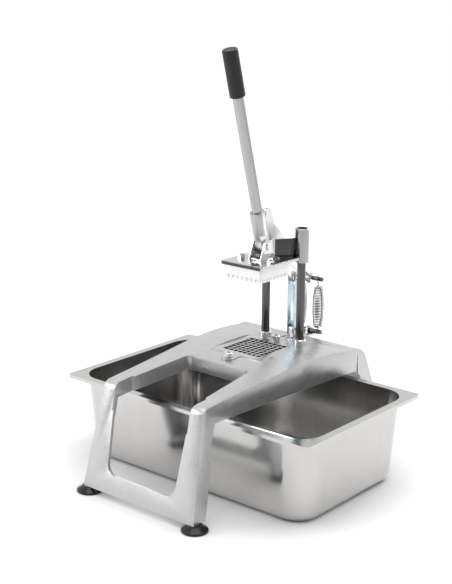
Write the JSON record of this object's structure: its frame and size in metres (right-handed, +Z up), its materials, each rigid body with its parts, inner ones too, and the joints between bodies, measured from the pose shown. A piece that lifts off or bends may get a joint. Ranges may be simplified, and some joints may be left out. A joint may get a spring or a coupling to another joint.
{
  "type": "french fry cutter",
  "caption": "Lever press on a bent cast frame that pushes a potato through a square knife grid into a pan standing underneath.",
  "frame": {"origin": "on the table under the middle of the machine and of its pan", "axes": "+Z up, +X to the operator's right, +Y away from the operator"},
  "size_m": [0.53, 0.552, 0.73],
  "materials": {
    "cast_aluminium": "satin blasted casting",
    "satin_steel": "satin stainless",
    "blade_steel": "ground blades",
    "polished_steel": "polished bar",
    "bright_steel": "turned bright",
    "zinc_steel": "zinc plated",
    "bush_plastic": "plain bearing plastic",
    "white_plastic": "food-safe white plastic",
    "brushed_plate": "brushed plate",
    "chrome_nuts": "polished dome nuts",
    "bracket_steel": "polished sheet",
    "lever_metal": "satin casting",
    "tube_steel": "satin tube",
    "black_grip": "black moulded grip",
    "link_steel": "polished sheet",
    "lug_metal": "satin steel",
    "dark_steel": "dark steel bar",
    "spring_steel": "spring wire",
    "pan_steel": "satin stainless pan",
    "knurled_nut": "fluted nut",
    "black_rubber": "black rubber"
  },
  "bodies": {
    "frame": {"frame_casting": "cast_aluminium", "knife_frame": "satin_steel", "knife_blades_long": "blade_steel", "knife_blades_cross": "blade_steel", "column_left": "polished_steel", "column_right": "polished_steel", "column_collars": "bright_steel", "column_screws": "zinc_steel", "rear_lug": "lug_metal", "lug_screws": "zinc_steel", "spring_bar_lower": "dark_steel", "return_spring_left": "spring_steel", "return_spring_right": "spring_steel", "knife_stud_front": "zinc_steel", "knife_stud_rear": "zinc_steel", "foot_front_left": "black_rubber", "foot_front_right": "black_rubber", "foot_rear_left": "black_rubber", "foot_rear_right": "black_rubber", "foot_screws": "zinc_steel"},
    "head": {"sleeve_left": "polished_steel", "sleeve_right": "polished_steel", "sleeve_bushes": "bush_plastic", "plunger_block": "white_plastic", "head_plate": "brushed_plate", "dome_nuts": "chrome_nuts", "plunger_studs": "zinc_steel", "head_bracket": "bracket_steel", "lever_pivot_pin": "bright_steel"},
    "lever": {"lever_casting": "lever_metal", "lever_tube": "tube_steel", "hand_grip": "black_grip", "spring_bar_upper": "dark_steel"},
    "link": {"link_channel": "link_steel", "link_pin_lower": "bright_steel", "link_pins_upper": "bright_steel"},
    "spring_top": {"spring_hooks": "spring_steel"},
    "nut_front": {"knife_nut_front": "knurled_nut"},
    "nut_rear": {"knife_nut_rear": "knurled_nut"},
    "pan": {"gastronorm_pan": "pan_steel"}
  },
  "joints": [
    {"name": "head_slide", "type": "slide", "parent": "frame", "child": "head", "axis": [0, 0, -1], "range_m": [0, 0.128], "stiffness_N_per_m": 300, "springref_m": -0.14},
    {"name": "lever_pivot", "type": "hinge", "parent": "head", "child": "lever", "pos_m": [0, 0.056, 0.389], "axis": [1, 0, 0], "range_deg": [0, 66]},
    {"name": "link_swing", "type": "hinge", "parent": "frame", "child": "link", "pos_m": [0, 0.15, 0.217], "axis": [-1, 0, 0], "range_deg": [0, 7]},
    {"name": "spring_stretch", "type": "slide", "parent": "frame", "child": "spring_top", "axis": [0, -0.1325, 0.9912], "range_m": [0, 0.0535], "deforming": ["return_spring_left", "return_spring_right"]},
    {"name": "pan_slide", "type": "slide", "parent": "frame", "child": "pan", "axis": [1, 0, 0], "range_m": [-0.45, 0.45]},
    {"name": "knife_nut_front_turn", "type": "hinge", "parent": "frame", "child": "nut_front", "pos_m": [0, -0.034, 0.2105], "axis": [0, 0, 1], "continuous": true},
    {"name": "knife_nut_rear_turn", "type": "hinge", "parent": "frame", "child": "nut_rear", "pos_m": [0, 0.098, 0.2105], "axis": [0, 0, 1], "continuous": true}
  ],
  "couplings": [
    {"joint": "lever_pivot", "follows": "head_slide", "rad_per_m": 8.99},
    {"joint": "link_swing", "follows": "head_slide", "rad_per_m": 0.954},
    {"joint": "spring_stretch", "follows": "head_slide", "ratio": 0.41695}
  ]
}
